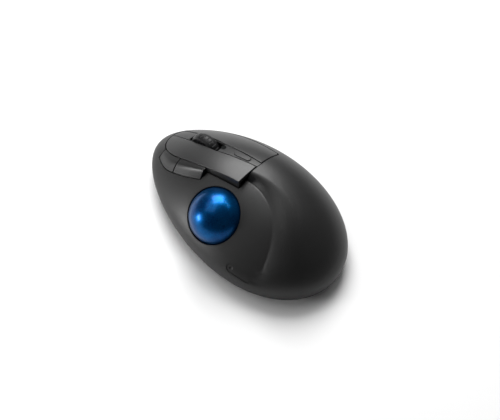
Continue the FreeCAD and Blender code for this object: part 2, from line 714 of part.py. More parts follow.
def side_keys():
    """The back and the forward key, each with a rib that reaches its switch."""
    form = side_key_form(0)
    hollow = form.copy()
    hollow.translate(Vec(SIDE_KEY_WALL, 0, -SIDE_KEY_WALL))
    core = box(-40, 10, SIDE_KEY_REAR + SIDE_KEY_WALL, SIDE_KEY_FRONT - 4, 0, 60)
    middle = box(-40, 10, SIDE_KEY_SPLIT - SIDE_KEY_WALL, SIDE_KEY_SPLIT + SIDE_KEY_WALL, 0, 60)
    skin = form.cut(hollow.common(core.cut(middle)))
    back = end_rounded(form.common(box(-40, 10, 0, SIDE_KEY_SPLIT - 0.2, 0, 60))).common(skin)
    forward = end_rounded(form.common(box(-40, 10, SIDE_KEY_SPLIT + 0.2, 70, 0, 60))).common(skin)
    keys = []
    for key, y in ((back, BACK_SWITCH_Y), (forward, FORWARD_SWITCH_Y)):
        rib = box(-14.8, -13.4, y - 1.1, y + 1.1, SIDE_SWITCH_Z - 1.0, 40).common(
            form.fuse(box(-14.8, -13.4, y - 1.1, y + 1.1, SIDE_SWITCH_Z - 1.0, body_z(-15.5, y) - 2))
        )
        keys.append(one([key, rib]))
    return keys


# ---------------------------------------------------------------- strip: light and small button
STRIP_BOARD_TILT = -14.3
STRIP_BOARD_REAR = Vec(10.3, 6.0, 37.0)
STRIP_BOARD_HALF = 3.2
STRIP_BOARD_LENGTH = 22.0
STRIP_BOARD_THICK = 0.8


def on_strip_board(solid):
    """Turns a solid built about the strip board's rear edge onto the tilted board."""
    placed = solid.copy()
    placed.Placement = FreeCAD.Placement(STRIP_BOARD_REAR, FreeCAD.Rotation(RIGHT, STRIP_BOARD_TILT))
    return placed


def strip_board():
    half = STRIP_BOARD_HALF
    return on_strip_board(box(-half, half, 0, STRIP_BOARD_LENGTH, 0, STRIP_BOARD_THICK))


def under_strip_board():
    return on_strip_board(box(-20, 20, -10, 40, -20, 0))


def dpi_button():
    cap = slot_prism(*DPI_AT, 11.0, 3.4, DPI_ANGLE, LOW, HIGH)
    raised_hump = lowered(HUMP, -0.35)
    cap = cap.common(raised_hump).cut(lowered(HUMP, 3.0))
    cap = softened(cap, 0.35, lambda x, y: hump_z(x, y) + 0.35)
    flange = under_hump(slot_prism(*DPI_AT, 12.8, 3.5, DPI_ANGLE, LOW, HIGH), 2.5, 3.1)
    return one([cap, flange])


def dpi_switch():
    along = 5.9
    x = DPI_AT[0] - STRIP_BOARD_REAR.x
    top = STRIP_BOARD_THICK
    body = box(x - 2.2, x + 2.2, along - 2.2, along + 2.2, top, top + 1.0)
    tip = Part.makeCylinder(1.0, 0.4, Vec(x, along, top + 1.0))
    return on_strip_board(one([body, tip]))


def status_led():
    x = LED_AT[0] - STRIP_BOARD_REAR.x
    along = 20.0
    top = STRIP_BOARD_THICK
    return on_strip_board(box(x - 0.8, x + 0.8, along - 0.8, along + 0.8, top, top + 0.7))


def led_lens():
    stem = under_hump(post(1.5, *LED_AT, LOW, HIGH), 0.05, 3.3)
    collar = under_hump(post(2.2, *LED_AT, LOW, HIGH), 2.4, 3.1)
    return one([stem, collar])


# ---------------------------------------------------------------- wheel
HUB_RADIUS = 9.3
HUB_RIM = 8.3
AXLE_RADIUS = 1.0
ARM_LEFT = (2.6, 4.0)
ARM_RIGHT = (12.6, 13.8)
ARM_SIDE = [                                       # side view of the carriage's arms, y and z
    (19.0, 14.2),
    (22.0, 13.4),
    (51.0, 16.5),
    (51.0, 17.4),
    (40.4, 24.4),
    (33.6, 25.6),
    (19.0, 18.2),
]


def about_wheel(solid):
    """Turns a solid built round +Z at the origin onto the wheel's axis."""
    return aimed(solid, WHEEL_CENTRE, RIGHT)


def wheel_tyre():
    half = WHEEL_WIDTH / 2
    shoulder = WHEEL_RADIUS - 1.2
    profile = Part.Wire([
        Part.makeLine(Vec(HUB_RADIUS, 0, -half + 0.4), Vec(shoulder, 0, -half)),
        Part.Arc(Vec(shoulder, 0, -half), Vec(WHEEL_RADIUS, 0, 0), Vec(shoulder, 0, half)).toShape(),
        Part.makeLine(Vec(shoulder, 0, half), Vec(HUB_RADIUS, 0, half - 0.4)),
        Part.makeLine(Vec(HUB_RADIUS, 0, half - 0.4), Vec(HUB_RADIUS, 0, -half + 0.4)),
    ])
    tyre = Part.Face(profile).revolve(Vec(0, 0, 0), UP, 360)
    grooves = []
    for i in range(30):
        groove = Part.makeCylinder(0.45, 3.4, Vec(WHEEL_RADIUS + 0.15, 0, -1.7))
        groove.rotate(Vec(0, 0, 0), UP, 12 * i)
        grooves.append(groove)
    return about_wheel(tyre.cut(grooves))


def wheel_hub():
    half = WHEEL_WIDTH / 2 - 0.4
    rim = Part.makeCylinder(HUB_RADIUS, 2 * half, Vec(0, 0, -half))
    rim = rim.cut(Part.makeCylinder(HUB_RIM, 2 * half + 2, Vec(0, 0, -half - 1)))
    boss = Part.makeCylinder(2.4, 2 * half + 0.6, Vec(0, 0, -half - 0.3))
    spokes = []
    for i in range(12):
        spoke = box(2.0, HUB_RIM + 0.4, -0.5, 0.5, -1.2, 1.2)
        spoke.rotate(Vec(0, 0, 0), UP, 30 * i)
        spokes.append(spoke)
    hub = one([rim, boss, *spokes])
    return about_wheel(hub.cut(Part.makeCylinder(AXLE_RADIUS, 20, Vec(0, 0, -10))))


def wheel_axle():
    y, z = WHEEL_CENTRE.y, WHEEL_CENTRE.z
    return rod(AXLE_RADIUS, Vec(ARM_LEFT[0] - 0.6, y, z), Vec(ARM_RIGHT[1] + 0.3, y, z))


def wheel_carriage():
    y, z = WHEEL_CENTRE.y, WHEEL_CENTRE.z
    arms = []
    for x0, x1 in (ARM_LEFT, ARM_RIGHT):
        face = Part.Face(Part.makePolygon([Vec(x0, a, b) for a, b in [*ARM_SIDE, ARM_SIDE[0]]]))
        arms.append(face.extrude(RIGHT * (x1 - x0)))
        arms.append(rod(3.2, Vec(x0, y, z), Vec(x1, y, z)))
    rear = box(ARM_LEFT[0], ARM_RIGHT[1], 19.4, 22.6, 14.4, 17.6)
    front = box(-1.0, ARM_RIGHT[1], 49.6, 52.2, 16.5, 17.4)
    carriage = one([*arms, rear, front])
    return carriage.cut([
        rod(AXLE_RADIUS + 0.05, Vec(0, y, z), Vec(20, y, z)),
        rod(AXLE_RADIUS + 0.05, Vec(0, PIVOT_Y, PIVOT_Z), Vec(20, PIVOT_Y, PIVOT_Z)),
        rod(2.0, Vec(0, *BEAM), Vec(20, *BEAM)),
    ])


def carriage_pin():
    return rod(AXLE_RADIUS, Vec(0.5, PIVOT_Y, PIVOT_Z), Vec(16.4, PIVOT_Y, PIVOT_Z))


def coil(start_radius, end_radius, length, turns, wire_radius):
    """A spring of round wire about +Z, from z = 0 up."""
    steps = 14 * turns
    points = []
    for i in range(steps + 1):
        share = i / steps
        angle = 2 * math.pi * turns * share
        radius = start_radius + (end_radius - start_radius) * share
        points.append(Vec(radius * math.cos(angle), radius * math.sin(angle), length * share))
    section = Part.Wire(Part.makeCircle(wire_radius, points[0], points[1] - points[0]))
    return Part.makePolygon(points).makePipeShell([section], True, False, 1)


def wheel_spring():
    wire_radius = 0.25
    length = 16.4 - BOARD_TOP - 2 * wire_radius - 0.1
    spring = coil(1.5, 1.5, length, 5, wire_radius)
    spring.translate(Vec(0.9, 51.1, BOARD_TOP + wire_radius + 0.05))
    return spring


def beam_post(x0, x1, lens_side):
    body = box(x0, x1, BEAM[0] - 1.3, BEAM[0] + 1.3, BOARD_TOP, BEAM[1] + 1.6)
    face = x1 if lens_side > 0 else x0
    return one([body, Part.makeSphere(0.8, Vec(face, *BEAM))])


# ---------------------------------------------------------------- ball and its sensor
BEARING_RADIUS = 1.5
BEARING_ANGLE = 118
BEARING_GAP = 0.03


def bearing_directions():
    side = BALL_AXIS.cross(SENSOR_AIM).normalize()
    front = side.cross(BALL_AXIS).normalize()
    polar = math.radians(BEARING_ANGLE)
    directions = []
    for turn in (60, 180, 300):
        azimuth = math.radians(turn)
        round_axis = front * math.cos(azimuth) + side * math.sin(azimuth)
        directions.append(BALL_AXIS * math.cos(polar) + round_axis * math.sin(polar))
    return directions


def ball_bearings():
    reach_out = BALL_RADIUS + BEARING_RADIUS + BEARING_GAP
    return group([Part.makeSphere(BEARING_RADIUS, BALL_CENTRE + d * reach_out) for d in bearing_directions()])


def ball_cup():
    outer_radius = BALL_RADIUS + CUP_GAP + CUP_WALL
    cup = Part.makeSphere(outer_radius, BALL_CENTRE)
    for d in bearing_directions():
        cup = cup.fuse(rod(2.6, BALL_CENTRE + d * 16, BALL_CENTRE + d * (outer_radius + 1.7)))
    for x, y in CUP_SCREWS:
        towards = Vec(BALL_CENTRE.x - x, BALL_CENTRE.y - y, 0).normalize()
        turn = math.degrees(math.atan2(towards.y, towards.x))
        arm = box(0, 9.5, -2.2, 2.2, SPLIT_Z, SPLIT_Z + 2)
        arm.rotate(Vec(0, 0, 0), UP, turn)
        arm.translate(Vec(x, y, 0))
        cup = cup.fuse(arm.fuse(post(3.2, x, y, SPLIT_Z, SPLIT_Z + 2)))
    for across in (-4.6, 4.6):
        root = BALL_CENTRE + SENSOR_AIM * 17.6 + Vec(0, across, 0)
        cup = cup.fuse(rod(1.1, root, root + SENSOR_AIM * 4.9))
    above = Part.makeBox(80, 80, 40, Vec(-40, -40, 0))
    above = aimed(above, BALL_CENTRE + BALL_AXIS * 3.0, BALL_AXIS)
    cup = cup.cut([
        above,
        Part.makeSphere(BALL_RADIUS + CUP_GAP, BALL_CENTRE),
        post(5.0, BALL_CENTRE.x, BALL_CENTRE.y, 0, 12),
        rod(3.0, BALL_CENTRE, BALL_CENTRE + SENSOR_AIM * 25),
    ])
    cup = cup.cut([Part.makeSphere(BEARING_RADIUS + 0.01, s.CenterOfMass) for s in ball_bearings().Solids])
    cup = cup.cut([post(1.0, x, y, 0, 20) for x, y in CUP_SCREWS])
    room = CLEAR.fuse(box(-60, 60, -60, 60, FLOOR_TOP + 0.2, SPLIT_Z))
    for x, y in CASE_SCREWS:
        room = room.cut(post(POST_RADIUS + 0.3, x, y, 0, HIGH))
    return largest(cup.common(room))


def facing_sensor(solid, distance):
    """Puts a solid built on +Z in front of the sensor window, this far from the ball's centre."""
    return aimed(solid, BALL_CENTRE + SENSOR_AIM * distance, SENSOR_AIM)


def sensor_lens():
    disc = Part.makeCylinder(2.9, 1.9, Vec(0, 0, 0))
    flange = Part.makeCylinder(3.2, 0.7, Vec(0, 0, 1.9))
    return facing_sensor(one([disc, flange]), 17.9)


def optical_sensor():
    return facing_sensor(box(-3.4, 3.4, -3.2, 3.2, 0, 1.9), 20.55)


def sensor_board():
    return facing_sensor(box(-5.5, 5.5, -6.2, 6.2, 0, 1.0), 22.5)


# ---------------------------------------------------------------- main board and its switches
def main_board():
    outline = [(-12, 23.4), (19.4, 23.4), (21.4, 30), (21.4, 46), (16.8, 55), (-8.6, 55), (-12, 50)]
    board = raised(polygon(outline), BOARD_Z, BOARD_TOP)
    cuts = [box(4.6, 12.1, 24.4, 48.2, 5, 15)]
    cuts += [post(1.0, x, y, 5, 15) for x, y in BOARD_SCREWS]
    return board.cut(cuts)


def microswitch(at):
    x, y = at
    body = box(x - 2.9, x + 2.9, y - 6.4, y + 6.4, BOARD_TOP, BOARD_TOP + 6.5)
    plunger = box(x - 1.4, x + 1.4, y + 1.8, y + 3.0, BOARD_TOP + 6, BOARD_TOP + 7.4)
    seam = box(x - 4, x + 4, y - 7, y + 7, BOARD_TOP + 3.6, BOARD_TOP + 3.8)
    return one([body.cut(seam.cut(box(x - 2.7, x + 2.7, y - 6.2, y + 6.2, 0, 30))), plunger])


def tact_switch(x, y, base, top):
    body = box(x - 3, x + 3, y - 3, y + 3, base, top - 0.4)
    return one([body, post(1.5, x, y, top - 1, top)])


def side_switch(y):
    body = box(-12.6, -10.4, y - 2.2, y + 2.2, SIDE_SWITCH_Z - 2.2, SIDE_SWITCH_Z + 2.2)
    return one([body, rod(0.9, Vec(-12, y, SIDE_SWITCH_Z), Vec(-13.0, y, SIDE_SWITCH_Z))])


def power_switch():
    x, y = POWER_AT
    body = box(x - 4.3, x + 4.3, y - 1.8, y + 1.8, 6.6, BOARD_Z)
    return body.cut(box(x - 2.5, x + 2.5, y - 0.9, y + 0.9, 6.0, 8.0))


def power_switch_lever():
    x, y = POWER_AT
    return box(x - 2.2, x - 0.8, y - 0.7, y + 0.7, 5.2, 7.8)


def power_slider():
    """The knob stands at its rear stop, and slides 3 mm to the right."""
    x, y = POWER_AT
    knob = slot_prism(x - 1.5, y, 6.4, 3.2, 0, FLOOR_Z + 0.1, FLOOR_TOP)
    flange = box(x - 6.7, x + 3.7, y - 3.4, y + 3.4, FLOOR_TOP + 0.15, FLOOR_TOP + 0.95)
    neck = box(x - 4.2, x + 1.2, y - 1.3, y + 1.3, FLOOR_TOP - 0.5, FLOOR_TOP + 0.5)
    fork = [box(x - 3.4, x - 2.2, y - 1, y + 1, 3, 6.3), box(x - 0.8, x + 0.4, y - 1, y + 1, 3, 6.3)]
    middles = [x - 1.5 + d for d in (-1.2, 0, 1.2)]
    ribs = [box(m - 0.2, m + 0.2, y - 1.2, y + 1.2, 0, FLOOR_Z + 0.4) for m in middles]
    return one([knob, neck, flange, *fork]).cut(ribs)


def pairing_switch():
    x, y = PAIRING_AT
    body = box(x - 2.2, x + 2.2, y - 2.2, y + 2.2, 6.9, BOARD_Z)
    return one([body, post(1.0, x, y, 6.4, 7.2)])


def pairing_button():
    x, y = PAIRING_AT
    return one([post(2.4, x, y, FLOOR_Z + 0.3, 5.9), post(3.4, x, y, FLOOR_TOP + 0.3, FLOOR_TOP + 1.1)])


# ---------------------------------------------------------------- power, storage and underside
LABEL = (-31.0, -3.0, -22.5, -8.5)
DOOR_HINGE = Vec(0, 5.0, 1.75)


def battery():
    body = rod(CELL_RADIUS, Vec(CELL_X, CELL_REAR, CELL_Z), Vec(CELL_X, CELL_FRONT, CELL_Z))
    rims = [e for e in body.Edges if e.Curve.TypeId == "Part::GeomCircle"]
    body = body.makeFillet(0.7, rims)
    nub = rod(2.7, Vec(CELL_X, CELL_FRONT - 1, CELL_Z), Vec(CELL_X, CELL_FRONT + 1.0, CELL_Z))
    return one([body, nub])


def contact_plate(y):
    """A sheet terminal in the end of the battery bay."""
    return box(CELL_X - 4.4, CELL_X + 4.4, y - 0.2, y + 0.2, 6.7, 16.5)


def battery_spring():
    """The negative terminal's coil, widest at its plate."""
    spring = coil(2.6, 4.2, 1.9, 3, 0.2)
    spring.rotate(Vec(0, 0, 0), RIGHT, 90)
    spring.translate(Vec(CELL_X, CELL_REAR - 0.25, CELL_Z))
    return spring


def battery_door():
    x0, x1, y0, y1 = BAY
    panel = box(x0 + 0.3, x1 - 0.3, y0 + 0.4, DOOR_HINGE.y, FLOOR_Z + 0.1, FLOOR_TOP - 0.2)
    barrel = rod(0.85, Vec(x0 + 0.3, DOOR_HINGE.y, DOOR_HINGE.z), Vec(x1 - 0.3, DOOR_HINGE.y, DOOR_HINGE.z))
    grip = [box(9.0, 17.0, y0 + 3 + 1.6 * i, y0 + 3.7 + 1.6 * i, 0, FLOOR_Z + 0.5) for i in range(4)]
    latch = box(11.0, 15.0, y0 + 0.4, y0 + 1.4, FLOOR_TOP - 0.5, 6.0)
    return one([panel, barrel, latch]).cut(grip)


def usb_receiver():
    x0, x1, y0, y1 = RECEIVER
    cap = box(x0, x1, y0, y0 + 6.6, FLOOR_Z + 0.2, RECEIVER_TOP)
    cap = cap.makeFillet(0.8, [e for e in cap.Edges if abs(e.CenterOfMass.y - y0) < 1e-6])
    tongue = box(x0 + 2.0, x1 - 2.0, y0 + 6, y1 - 0.4, 2.0, 3.6)
    return one([cap, tongue])


def usb_plug():
    x0, x1, y0, y1 = RECEIVER
    middle = (x0 + x1) / 2
    shell = box(middle - 6.0, middle + 6.0, y0 + 6.6, y1, 1.6, 6.1)
    hollow = box(middle - 5.7, middle + 5.7, y0, y1 + 1, 1.9, 5.8)
    windows = [box(middle + s - 1.2, middle + s + 1.2, y1 - 6.5, y1 - 4.1, 0, 8) for s in (-3, 3)]
    return shell.cut([hollow, *windows])


def feet_solids():
    top = FLOOR_Z + 0.35
    return [
        slot_prism(4.0, 54.2, 22.0, 6.0, 0, 0, top),
        slot_prism(-1.0, -56.0, 26.0, 6.0, 0, 0, top),
        slot_prism(-28.5, 12.0, 12.0, 4.0, 90, 0, top),
        slot_prism(29.0, 12.0, 20.0, 4.4, 98, 0, top),
    ]


def label_plate():
    x0, x1, y0, y1 = LABEL
    return box(x0 + 0.3, x1 - 0.3, y0 + 0.3, y1 - 0.3, FLOOR_Z + 0.05, FLOOR_Z + 0.25)


def screw(radius, head_radius, x, y, tip, under_head, top):
    """An upright screw with its head at the end named by top, and a cross in the head."""
    thickness = abs(top - under_head)
    shank = post(radius, x, y, min(tip, under_head), max(tip, under_head))
    head = post(head_radius, x, y, min(top, under_head), max(top, under_head))
    depth = 0.45 * thickness
    low, high = (top - depth, top + 1) if top > under_head else (top - 1, top + depth)
    arm = head_radius * 0.62
    cross = [
        box(x - arm, x + arm, y - 0.2, y + 0.2, low, high),
        box(x - 0.2, x + 0.2, y - arm, y + arm, low, high),
    ]
    return one([shank, head]).cut(cross)


def case_screws():
    lengths = [SPLIT_Z + 7] * 4 + [11.6]
    return group([screw(1.0, 2.5, x, y, tip, 4.6, 3.2) for (x, y), tip in zip(CASE_SCREWS, lengths)])


def board_screws():
    return group([screw(0.9, 1.8, x, y, 5.0, BOARD_TOP, BOARD_TOP + 1.2) for x, y in BOARD_SCREWS])


def cup_screws():
    return group([screw(0.9, 1.8, x, y, 5.0, SPLIT_Z + 2, SPLIT_Z + 3.2) for x, y in CUP_SCREWS])


def deck_screws():
    screws = []
    for x, y in DECK_SCREWS:
        slope_x = hump_z(x + 0.5, y) - hump_z(x - 0.5, y)
        below = DECK_DROP + DECK_THICK + 1.9 * abs(slope_x) + 0.1
        seat = hump_z(x, y) - below
        tip = hump_z(x, y) - DECK_DROP + 2.4
        screws.append(screw(0.8, 1.8, x, y, tip, seat, seat - 1.1))
    return group(screws)


# ---------------------------------------------------------------- every piece, under its node's name
def pieces():
    left_key, right_key = key_plates()
    back, forward = side_keys()
    feet = feet_solids()
    return {
        "top_shell": top_shell(),
        "bottom_shell": bottom_shell(),
        "button_deck": button_deck(),
        "center_spine": center_spine(),
        "left_button": left_key,
        "right_button": right_key,
        "forward_key": forward,
        "back_key": back,
        "dpi_button": dpi_button(),
        "dpi_switch": dpi_switch(),
        "strip_board": strip_board(),
        "status_led": status_led(),
        "led_lens": led_lens(),
        "scroll_wheel_tyre": wheel_tyre(),
        "scroll_wheel_hub": wheel_hub(),
        "wheel_axle": wheel_axle(),
        "wheel_carriage": wheel_carriage(),
        "carriage_pin": carriage_pin(),
        "wheel_spring": wheel_spring(),
        "scroll_emitter": beam_post(-0.6, 2.2, 1),
        "scroll_detector": beam_post(14.5, 17.3, -1),
        "trackball": Part.makeSphere(BALL_RADIUS, BALL_CENTRE),
        "ball_cup": ball_cup(),
        "ball_bearings": ball_bearings(),
        "sensor_lens": sensor_lens(),
        "optical_sensor": optical_sensor(),
        "sensor_board": sensor_board(),
        "main_board": main_board(),
        "controller_chip": box(-1.8, 2.0, 38.8, 46.2, BOARD_TOP, BOARD_TOP + 0.9),
        "left_microswitch": microswitch(LEFT_SWITCH),
        "right_microswitch": microswitch(RIGHT_SWITCH),
        "wheel_switch": tact_switch(*WHEEL_SWITCH, BOARD_TOP, 15.5),
        "side_switch_board": box(-10.4, -9.4, 30.5, 48.0, BOARD_TOP, 18.2),
        "back_switch": side_switch(BACK_SWITCH_Y),
        "forward_switch": side_switch(FORWARD_SWITCH_Y),
        "power_switch": power_switch(),
        "power_switch_lever": power_switch_lever(),
        "power_slider": power_slider(),
        "pairing_switch": pairing_switch(),
        "pairing_button": pairing_button(),
        "battery": battery(),
        "battery_contact": contact_plate(BAY[3] - 0.25),
        "battery_spring_plate": contact_plate(BAY[2] + 0.25),
        "battery_spring": battery_spring(),
        "battery_door": battery_door(),
        "usb_receiver": usb_receiver(),
        "usb_plug": usb_plug(),
        "case_screws": case_screws(),
        "board_screws": board_screws(),
        "cup_screws": cup_screws(),
        "deck_screws": deck_screws(),
        "front_foot": feet[0],
        "rear_foot": feet[1],
        "left_foot": feet[2],
        "right_foot": feet[3],
        "label_plate": label_plate(),
    }


os.makedirs("parts", exist_ok=True)
for name, shape in pieces().items():
    shape.exportStep(f"parts/{name}.step")
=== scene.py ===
"""Looks of the trackball mouse: a finish for every piece, and a small photo studio."""

import math

import bpy
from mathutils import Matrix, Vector


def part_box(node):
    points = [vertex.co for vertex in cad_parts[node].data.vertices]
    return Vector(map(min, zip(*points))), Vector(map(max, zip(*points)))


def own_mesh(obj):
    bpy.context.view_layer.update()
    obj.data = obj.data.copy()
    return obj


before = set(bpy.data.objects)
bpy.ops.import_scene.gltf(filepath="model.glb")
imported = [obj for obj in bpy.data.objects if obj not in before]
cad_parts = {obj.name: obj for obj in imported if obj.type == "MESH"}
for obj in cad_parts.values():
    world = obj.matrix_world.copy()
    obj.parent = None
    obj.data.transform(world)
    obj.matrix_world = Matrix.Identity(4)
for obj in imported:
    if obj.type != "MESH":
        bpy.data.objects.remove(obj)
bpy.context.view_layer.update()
MM = 0.001

# ---------------------------------------------------------------- colours, as linear light
CHARCOAL = (0.0120, 0.0120, 0.0121)
BASE_BLACK = (0.008, 0.008, 0.009)
KEY_GREY = (0.020, 0.0201, 0.0203)
SIDE_GREY = (0.010, 0.0100, 0.0101)
STRIP_GREY = (0.012, 0.0121, 0.0125)
TYRE_BLACK = (0.006, 0.006, 0.0065)
HUB_BLACK = (0.020, 0.020, 0.022)
BALL_DEEP = (0.0003, 0.020, 0.095)
BALL_BRIGHT = (0.0006, 0.090, 0.27)
FRAME_GREY = (0.055, 0.055, 0.058)
CUP_GREY = (0.030, 0.030, 0.032)
MASK_GREEN = (0.012, 0.085, 0.040)
TRACE_GREEN = (0.030, 0.160, 0.075)
COPPER_GOLD = (0.75, 0.52, 0.22)
CHIP_BLACK = (0.015, 0.015, 0.016)
SWITCH_BLACK = (0.020, 0.020, 0.022)
SWITCH_WHITE = (0.74, 0.73, 0.69)
STEEL = (0.60, 0.60, 0.62)
NICKEL = (0.66, 0.63, 0.57)
CERAMIC = (0.85, 0.84, 0.81)
CLEAR = (0.95, 0.96, 0.97)
LIGHT_SMOKE = (0.003, 0.0035, 0.0035)
CELL_DARK = (0.020, 0.022, 0.026)
CELL_COPPER = (0.35, 0.13, 0.03)
FOOT_BLACK = (0.022, 0.022, 0.023)
LABEL_GREY = (0.30, 0.30, 0.31)
LABEL_INK = (0.06, 0.06, 0.065)
FLOOR_PALE = (0.86, 0.86, 0.86)
FLOOR_PALER = (0.88, 0.88, 0.88)
STUDIO_WHITE = (1.0, 1.0, 1.0, 1.0)


# ---------------------------------------------------------------- materials
NOISE_SPAN = (0.3, 0.7)    # most of a noise pattern's values lie in here


def scaled(colour, factor):
    return tuple(channel * factor for channel in colour)


class Finish:
    """A Principled material. Its patterns follow the object's own coordinates, in metres."""

    def __init__(self, name, roughness, metallic=0.0, specular=0.5):
        self.material = bpy.data.materials.new(name)
        self.material.use_nodes = True
        self.tree = self.material.node_tree
        self.shader = self.tree.nodes["Principled BSDF"]
        self.set("Metallic", metallic)
        self.set("Specular IOR Level", specular)
        self.set("Roughness", roughness)
        self.place = self.tree.nodes.new("ShaderNodeTexCoord").outputs["Object"]

    def set(self, socket, value):
        """Gives a shader input a number, a colour or a pattern."""
        self.fill(self.shader.inputs[socket], value)

    def fill(self, socket, value):
        """Gives any node's input a number, a colour or a pattern."""
        if isinstance(value, bpy.types.NodeSocket):
            self.tree.links.new(value, socket)
        elif isinstance(value, tuple):
            socket.default_value = (*value, 1.0)
        else:
            socket.default_value = value

    def node(self, kind, **values):
        """Adds a node and fills the inputs that are named."""
        made = self.tree.nodes.new(kind)
        for key, value in values.items():
            self.fill(made.inputs[key], value)
        return made

    def noise(self, size, detail=3.0, place=None):
        """Noise with patches of about this size, in metres."""
        made = self.node("ShaderNodeTexNoise", Vector=place or self.place, Scale=1 / size, Detail=detail)
        return made.outputs["Fac"]

    def cells(self, size, feature="F1"):
        """Random cells of about this size. The node gives a distance and each cell's random shade."""
        made = self.tree.nodes.new("ShaderNodeTexVoronoi")
        made.feature = feature
        self.fill(made.inputs["Vector"], self.place)
        self.fill(made.inputs["Scale"], 1 / size)
        return made

    def maths(self, operation, first, second=0.0):
        made = self.tree.nodes.new("ShaderNodeMath")
        made.operation = operation
        self.fill(made.inputs[0], first)
        self.fill(made.inputs[1], second)
        return made.outputs[0]

    def spread(self, value, low, high, to_low=0.0, to_high=1.0):
        """Maps a range of a pattern to another range, clamped."""
        made = self.tree.nodes.new("ShaderNodeMapRange")
        for socket, number in zip(made.inputs, (value, low, high, to_low, to_high)):
            self.fill(socket, number)
        return made.outputs[0]

    def evened(self, noise, to_low=0.0, to_high=1.0):
        """Stretches a noise's usual values over this range."""
        return self.spread(noise, *NOISE_SPAN, to_low, to_high)

    def mix(self, share, first, second):
        """One colour turning into another as share goes from 0 to 1."""
        made = self.tree.nodes.new("ShaderNodeMix")
        made.data_type = "RGBA"
        ends = [s for s in made.inputs if s.type == "RGBA"]
        for socket, value in zip((made.inputs[0], *ends), (share, first, second)):
            self.fill(socket, value)
        return next(s for s in made.outputs if s.type == "RGBA")

    def shades(self, share, colour, at_none, at_full):
        """One colour, times the first factor where share is 0 and times the second where it is 1."""
        return self.mix(share, scaled(colour, at_none), scaled(colour, at_full))

    def axis(self, letter):
        """One of the object's coordinates."""
        return self.node("ShaderNodeSeparateXYZ", Vector=self.place).outputs[letter]

    def squeezed(self, factors):
        """The object's coordinates, times these factors."""
        made = self.node("ShaderNodeMapping", Vector=self.place)
        made.inputs["Scale"].default_value = factors
        return made.outputs["Vector"]

    def between(self, value, low, high, soft):
        """1 where a value lies between two limits, falling to 0 over a soft edge."""
        rise = self.spread(value, low - soft, low + soft)
        fall = self.spread(value, high - soft, high + soft)
        return self.maths("SUBTRACT", rise, fall)

    def outside(self, value, low, high, soft):
        """1 where a value lies outside two limits, falling to 0 over a soft edge."""
        return self.maths("SUBTRACT", 1.0, self.between(value, low, high, soft))

    def relief(self, height, depth):
        """Relief whose full height is this deep, in metres."""
        made = self.node("ShaderNodeBump", Height=height, Distance=depth)
        self.set("Normal", made.outputs["Normal"])


MOULDED_SPECULAR = 0.38
FLOW_MARK = 16 * MM
GRAIN_GLOSS = 0.05         # how far the grain moves the roughness, up or down


def moulded(name, colour, roughness, grain=0.35 * MM, depth=0.01 * MM, contrast=0.08):
    """Moulded plastic with a fine eroded grain and faint flow marks."""
    made = Finish(name, roughness, specular=MOULDED_SPECULAR)
    flow = made.evened(made.noise(FLOW_MARK, detail=2.0))
    made.set("Base Color", made.shades(flow, colour, 1 - contrast, 1 + contrast))
    fine = made.noise(grain, detail=4.0)
    made.set("Roughness", made.evened(fine, roughness - GRAIN_GLOSS, roughness + GRAIN_GLOSS))
    made.relief(fine, depth)
    return made


CLOUD = 9 * MM
DUST = 2.2 * MM
DUST_DULLING = 0.08        # how much roughness the dust adds
RIPPLE = 1.6 * MM
RIPPLE_DEPTH = 0.006 * MM


def glossy(name, colour, roughness, specular=0.5):
    """Polished plastic or moulded rubber with a faint ripple and a little dust in its gloss."""
    made = Finish(name, roughness, specular=specular)
    made.set("Base Color", made.shades(made.evened(made.noise(CLOUD)), colour, 0.85, 1.15))
    dust = made.noise(DUST, detail=4.0)
    made.set("Roughness", made.evened(dust, roughness, roughness + DUST_DULLING))
    made.relief(made.noise(RIPPLE, detail=2.0), RIPPLE_DEPTH)
    return made


TOOL_MARK = 1.2 * MM
TOOL_MARK_DEPTH = 0.008 * MM
TARNISH = 4 * MM
SQUEEZE = 18               # how much finer the marks are across their axis than along the others
ACROSS_X = (SQUEEZE, 1, 1)
ACROSS_Y = (1, SQUEEZE, 1)
ACROSS_Z = (1, 1, SQUEEZE)


def metal(name, colour, roughness, marks=ACROSS_Z):
    """Turned or brushed metal, with fine marks that run across one axis."""
    made = Finish(name, roughness, metallic=1.0)
    lines = made.noise(TOOL_MARK, place=made.squeezed(marks))
    tarnish = made.spread(made.noise(TARNISH), 0.35, 0.7)
    made.set("Base Color", made.shades(tarnish, colour, 1.0, 0.82))
    made.set("Roughness", made.evened(lines, roughness - 0.06, roughness + 0.1))
    made.relief(lines, TOOL_MARK_DEPTH)
    return made


SWIRL = 11 * MM
SWIRL_SPAN = (0.32, 0.68)
SWIRL_SHARE = 0.65         # share of the bright pigment that comes in clouds
FLAKE = 0.5 * MM
FLAKE_SHARE = 0.35         # and in flakes


def pearl_ball():
    """Blue pearl resin: metallic pigment in clouds and flakes, under a clear polished skin."""
    made = Finish("pearl blue", roughness=0.30, metallic=0.85, specular=0.1)
    swirl = made.spread(made.noise(SWIRL), *SWIRL_SPAN)
    shade = made.node("ShaderNodeSeparateColor", Color=made.cells(FLAKE).outputs["Color"])
    clouds = made.maths("MULTIPLY", swirl, SWIRL_SHARE)
    flakes = made.maths("MULTIPLY", shade.outputs[0], FLAKE_SHARE)
    made.set("Base Color", made.mix(made.maths("ADD", clouds, flakes), BALL_DEEP, BALL_BRIGHT))
    made.set("Roughness", made.spread(swirl, 0.0, 1.0, to_low=0.34, to_high=0.28))
    made.set("Coat Weight", 0.1)
    made.set("Coat Roughness", 0.04)
    return made


